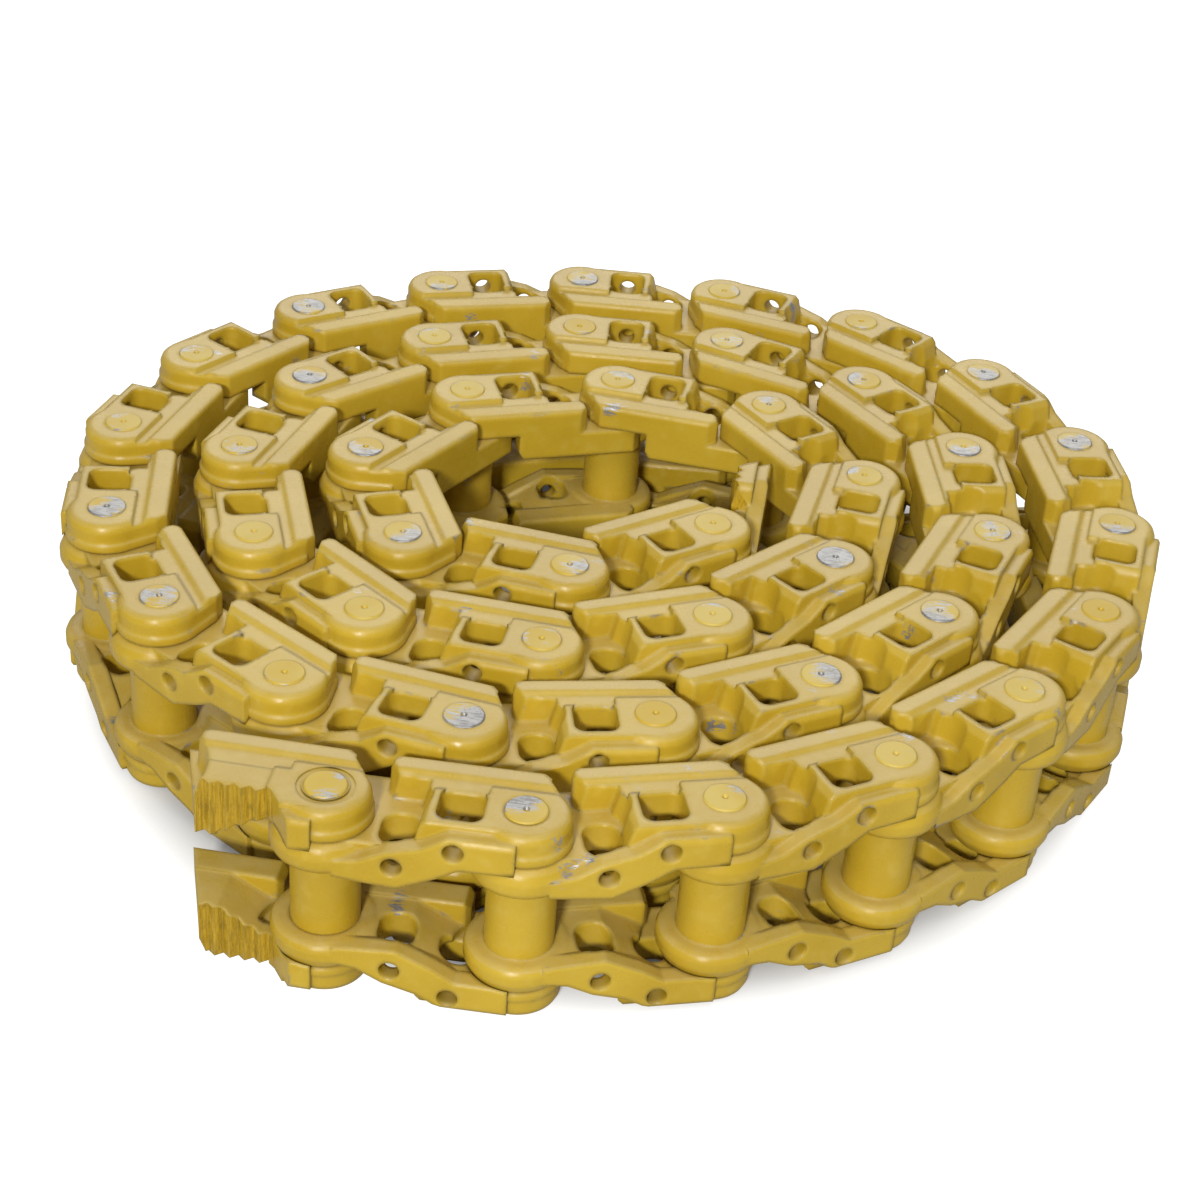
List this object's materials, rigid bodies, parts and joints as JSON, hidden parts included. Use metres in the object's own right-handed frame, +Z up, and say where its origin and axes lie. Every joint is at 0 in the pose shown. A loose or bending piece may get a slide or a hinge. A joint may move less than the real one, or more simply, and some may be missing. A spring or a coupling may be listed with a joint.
{
  "type": "excavator track chain",
  "caption": "Excavator track chain lying coiled on its side: forged link pairs on pressed pins and bushes, with shoe bolt holes and a split master link at its two ends.",
  "frame": {"origin": "middle of the coil's outline, on the floor under its lower pin heads", "axes": "+Z up along the pins; +X along the first whole link, from the outer end into the coil; -Y towards its shoe face"},
  "size_m": [1.4352, 1.4252, 0.256],
  "materials": {
    "yellow_paint": "satin",
    "pin_steel": "worn",
    "seal_rubber": "matte"
  },
  "bodies": {
    "outer_master_half": {"outer_master_upper_half": "yellow_paint", "outer_master_lower_half": "yellow_paint", "master_pin": "pin_steel", "master_pin_seals": "seal_rubber"},
    "front_link": {"front_upper_link": "yellow_paint", "front_lower_link": "yellow_paint", "front_bush": "yellow_paint", "front_pin": "pin_steel", "front_pin_seals": "seal_rubber"},
    "link_03": {"link_unit_03": "yellow_paint"},
    "link_04": {"link_unit_04": "yellow_paint"},
    "link_05": {"link_unit_05": "yellow_paint"},
    "link_06": {"link_unit_06": "yellow_paint"},
    "link_07": {"link_unit_07": "yellow_paint"},
    "link_08": {"link_unit_08": "yellow_paint"},
    "link_09": {"link_unit_09": "yellow_paint"},
    "link_10": {"link_unit_10": "yellow_paint"},
    "link_11": {"link_unit_11": "yellow_paint"},
    "link_12": {"link_unit_12": "yellow_paint"},
    "link_13": {"link_unit_13": "yellow_paint"},
    "link_14": {"link_unit_14": "yellow_paint"},
    "link_15": {"link_unit_15": "yellow_paint"},
    "link_16": {"link_unit_16": "yellow_paint"},
    "link_17": {"link_unit_17": "yellow_paint"},
    "link_18": {"link_unit_18": "yellow_paint"},
    "link_19": {"link_unit_19": "yellow_paint"},
    "link_20": {"link_unit_20": "yellow_paint"},
    "link_21": {"link_unit_21": "yellow_paint"},
    "link_22": {"link_unit_22": "yellow_paint"},
    "link_23": {"link_unit_23": "yellow_paint"},
    "link_24": {"link_unit_24": "yellow_paint"},
    "link_25": {"link_unit_25": "yellow_paint"},
    "link_26": {"link_unit_26": "yellow_paint"},
    "link_27": {"link_unit_27": "yellow_paint"},
    "link_28": {"link_unit_28": "yellow_paint"},
    "link_29": {"link_unit_29": "yellow_paint"},
    "link_30": {"link_unit_30": "yellow_paint"},
    "link_31": {"link_unit_31": "yellow_paint"},
    "link_32": {"link_unit_32": "yellow_paint"},
    "link_33": {"link_unit_33": "yellow_paint"},
    "link_34": {"link_unit_34": "yellow_paint"},
    "link_35": {"link_unit_35": "yellow_paint"},
    "link_36": {"link_unit_36": "yellow_paint"},
    "link_37": {"link_unit_37": "yellow_paint"},
    "link_38": {"link_unit_38": "yellow_paint"},
    "link_39": {"link_unit_39": "yellow_paint"},
    "link_40": {"link_unit_40": "yellow_paint"},
    "link_41": {"link_unit_41": "yellow_paint"},
    "link_42": {"link_unit_42": "yellow_paint"},
    "link_43": {"link_unit_43": "yellow_paint"},
    "link_44": {"link_unit_44": "yellow_paint"},
    "inner_master_half": {"inner_master_upper_half": "yellow_paint", "inner_master_lower_half": "yellow_paint", "inner_master_bush": "yellow_paint"}
  },
  "joints": [
    {"name": "pin_01_hinge", "type": "hinge", "parent": "front_link", "child": "outer_master_half", "pos_m": [-0.22953, -0.65162, 0.128], "axis": [0, 0, 1], "range_deg": [-8, 5]},
    {"name": "pin_02_hinge", "type": "hinge", "parent": "link_03", "child": "front_link", "pos_m": [-0.01353, -0.65162, 0.128], "axis": [0, 0, 1], "range_deg": [-1, 17.1]},
    {"name": "pin_03_hinge", "type": "hinge", "parent": "link_04", "child": "link_03", "pos_m": [0.19291, -0.58808, 0.128], "axis": [0, 0, 1], "range_deg": [0, 15.4]},
    {"name": "pin_04_hinge", "type": "hinge", "parent": "link_05", "child": "link_04", "pos_m": [0.37509, -0.47203, 0.128], "axis": [0, 0, 1], "range_deg": [0, 14.4]},
    {"name": "pin_05_hinge", "type": "hinge", "parent": "link_06", "child": "link_05", "pos_m": [0.52271, -0.31434, 0.128], "axis": [0, 0, 1], "range_deg": [0, 15.6]},
    {"name": "pin_06_hinge", "type": "hinge", "parent": "link_07", "child": "link_06", "pos_m": [0.6225, -0.12278, 0.128], "axis": [0, 0, 1], "range_deg": [0, 18.4]},
    {"name": "pin_07_hinge", "type": "hinge", "parent": "link_08", "child": "link_07", "pos_m": [0.65662, 0.09051, 0.128], "axis": [0, 0, 1], "range_deg": [0, 21.1]},
    {"name": "pin_08_hinge", "type": "hinge", "parent": "link_09", "child": "link_08", "pos_m": [0.61152, 0.30175, 0.128], "axis": [0, 0, 1], "range_deg": [0, 22.5]},
    {"name": "pin_09_hinge", "type": "hinge", "parent": "link_10", "child": "link_09", "pos_m": [0.48914, 0.47973, 0.128], "axis": [0, 0, 1], "range_deg": [0, 21.9]},
    {"name": "pin_10_hinge", "type": "hinge", "parent": "link_11", "child": "link_10", "pos_m": [0.30926, 0.59931, 0.128], "axis": [0, 0, 1], "range_deg": [0, 19.6]},
    {"name": "pin_11_hinge", "type": "hinge", "parent": "link_12", "child": "link_11", "pos_m": [0.09969, 0.65162, 0.128], "axis": [0, 0, 1], "range_deg": [0, 16.8]},
    {"name": "pin_12_hinge", "type": "hinge", "parent": "link_13", "child": "link_12", "pos_m": [-0.11606, 0.64123, 0.128], "axis": [0, 0, 1], "range_deg": [0, 15.6]},
    {"name": "pin_13_hinge", "type": "hinge", "parent": "link_13", "child": "link_14", "pos_m": [-0.32102, 0.57305, 0.128], "axis": [0, 0, -1], "range_deg": [0, 2]},
    {"name": "pin_14_hinge", "type": "hinge", "parent": "link_14", "child": "link_15", "pos_m": [-0.49571, 0.446, 0.128], "axis": [0, 0, -1], "range_deg": [0, 2]},
    {"name": "pin_15_hinge", "type": "hinge", "parent": "link_15", "child": "link_16", "pos_m": [-0.61452, 0.26561, 0.128], "axis": [0, 0, -1], "range_deg": [0, 1.5]},
    {"name": "pin_16_hinge", "type": "hinge", "parent": "link_16", "child": "link_17", "pos_m": [-0.65662, 0.05376, 0.128], "axis": [0, 0, -1], "range_deg": [0, 1.4]},
    {"name": "pin_17_hinge", "type": "hinge", "parent": "link_17", "child": "link_18", "pos_m": [-0.61561, -0.15832, 0.128], "axis": [0, 0, -1], "range_deg": [0, 1.5]},
    {"name": "pin_18_hinge", "type": "hinge", "parent": "link_18", "child": "link_19", "pos_m": [-0.49781, -0.33937, 0.128], "axis": [0, 0, -1], "range_deg": [0, 1.5]},
    {"name": "pin_19_hinge", "type": "hinge", "parent": "link_19", "child": "link_20", "pos_m": [-0.31895, -0.46046, 0.128], "axis": [0, 0, -1], "range_deg": [0, 1.3]},
    {"name": "pin_20_hinge", "type": "hinge", "parent": "link_20", "child": "link_21", "pos_m": [-0.10643, -0.49906, 0.128], "axis": [0, 0, -1], "range_deg": [0, 1.2]},
    {"name": "pin_21_hinge", "type": "hinge", "parent": "link_21", "child": "link_22", "pos_m": [0.10421, -0.45121, 0.128], "axis": [0, 0, -1], "range_deg": [0, 1.4]},
    {"name": "pin_22_hinge", "type": "hinge", "parent": "link_22", "child": "link_23", "pos_m": [0.28623, -0.33492, 0.128], "axis": [0, 0, -1], "range_deg": [0, 1.6]},
    {"name": "pin_23_hinge", "type": "hinge", "parent": "link_23", "child": "link_24", "pos_m": [0.42466, -0.16911, 0.128], "axis": [0, 0, -1], "range_deg": [0, 1.5]},
    {"name": "pin_24_hinge", "type": "hinge", "parent": "link_24", "child": "link_25", "pos_m": [0.49295, 0.03581, 0.128], "axis": [0, 0, -1], "range_deg": [0, 1.7]},
    {"name": "pin_25_hinge", "type": "hinge", "parent": "link_25", "child": "link_26", "pos_m": [0.45787, 0.24894, 0.128], "axis": [0, 0, -1], "range_deg": [0, 1.5]},
    {"name": "pin_26_hinge", "type": "hinge", "parent": "link_26", "child": "link_27", "pos_m": [0.3179, 0.41346, 0.128], "axis": [0, 0, -1], "range_deg": [0, 1.4]},
    {"name": "pin_27_hinge", "type": "hinge", "parent": "link_27", "child": "link_28", "pos_m": [0.11564, 0.48926, 0.128], "axis": [0, 0, -1], "range_deg": [0, 1.5]},
    {"name": "pin_28_hinge", "type": "hinge", "parent": "link_28", "child": "link_29", "pos_m": [-0.10014, 0.47965, 0.128], "axis": [0, 0, -1], "range_deg": [0, 1.9]},
    {"name": "pin_29_hinge", "type": "hinge", "parent": "link_29", "child": "link_30", "pos_m": [-0.30032, 0.39849, 0.128], "axis": [0, 0, -1], "range_deg": [0, 1.7]},
    {"name": "pin_30_hinge", "type": "hinge", "parent": "link_30", "child": "link_31", "pos_m": [-0.44756, 0.24046, 0.128], "axis": [0, 0, -1], "range_deg": [0, 1.9]},
    {"name": "pin_31_hinge", "type": "hinge", "parent": "link_31", "child": "link_32", "pos_m": [-0.49397, 0.0295, 0.128], "axis": [0, 0, -1], "range_deg": [0, 1.6]},
    {"name": "pin_32_hinge", "type": "hinge", "parent": "link_32", "child": "link_33", "pos_m": [-0.42433, -0.17496, 0.128], "axis": [0, 0, -1], "range_deg": [0, 1.7]},
    {"name": "pin_33_hinge", "type": "hinge", "parent": "link_33", "child": "link_34", "pos_m": [-0.25735, -0.31198, 0.128], "axis": [0, 0, -1], "range_deg": [0, 1.5]},
    {"name": "pin_34_hinge", "type": "hinge", "parent": "link_34", "child": "link_35", "pos_m": [-0.04221, -0.33126, 0.128], "axis": [0, 0, -1], "range_deg": [0, 1.3]},
    {"name": "pin_35_hinge", "type": "hinge", "parent": "link_35", "child": "link_36", "pos_m": [0.15171, -0.23614, 0.128], "axis": [0, 0, -1], "range_deg": [0, 1.6]},
    {"name": "pin_36_hinge", "type": "hinge", "parent": "link_36", "child": "link_37", "pos_m": [0.29392, -0.07355, 0.128], "axis": [0, 0, -1], "range_deg": [0, 1.6]},
    {"name": "pin_37_hinge", "type": "hinge", "parent": "link_37", "child": "link_38", "pos_m": [0.32524, 0.14016, 0.128], "axis": [0, 0, -1], "range_deg": [0, 2]},
    {"name": "pin_38_hinge", "type": "hinge", "parent": "link_38", "child": "link_39", "pos_m": [0.18776, 0.30677, 0.128], "axis": [0, 0, -1], "range_deg": [0, 1.9]},
    {"name": "pin_39_hinge", "type": "hinge", "parent": "link_39", "child": "link_40", "pos_m": [-0.02693, 0.33047, 0.128], "axis": [0, 0, -1], "range_deg": [0, 2]},
    {"name": "pin_40_hinge", "type": "hinge", "parent": "link_40", "child": "link_41", "pos_m": [-0.22814, 0.25191, 0.128], "axis": [0, 0, -1], "range_deg": [0, 1.5]},
    {"name": "pin_41_hinge", "type": "hinge", "parent": "link_41", "child": "link_42", "pos_m": [-0.33243, 0.06276, 0.128], "axis": [0, 0, -1], "range_deg": [0, 1.8]},
    {"name": "pin_42_hinge", "type": "hinge", "parent": "link_42", "child": "link_43", "pos_m": [-0.24482, -0.13468, 0.128], "axis": [0, 0, -1], "range_deg": [0, 1.8]},
    {"name": "pin_43_hinge", "type": "hinge", "parent": "link_43", "child": "link_44", "pos_m": [-0.03087, -0.16434, 0.128], "axis": [0, 0, -1], "range_deg": [0, 2]},
    {"name": "pin_44_hinge", "type": "hinge", "parent": "link_44", "child": "inner_master_half", "pos_m": [0.13579, -0.02693, 0.128], "axis": [0, 0, -1], "range_deg": [-10, 2.5]}
  ]
}
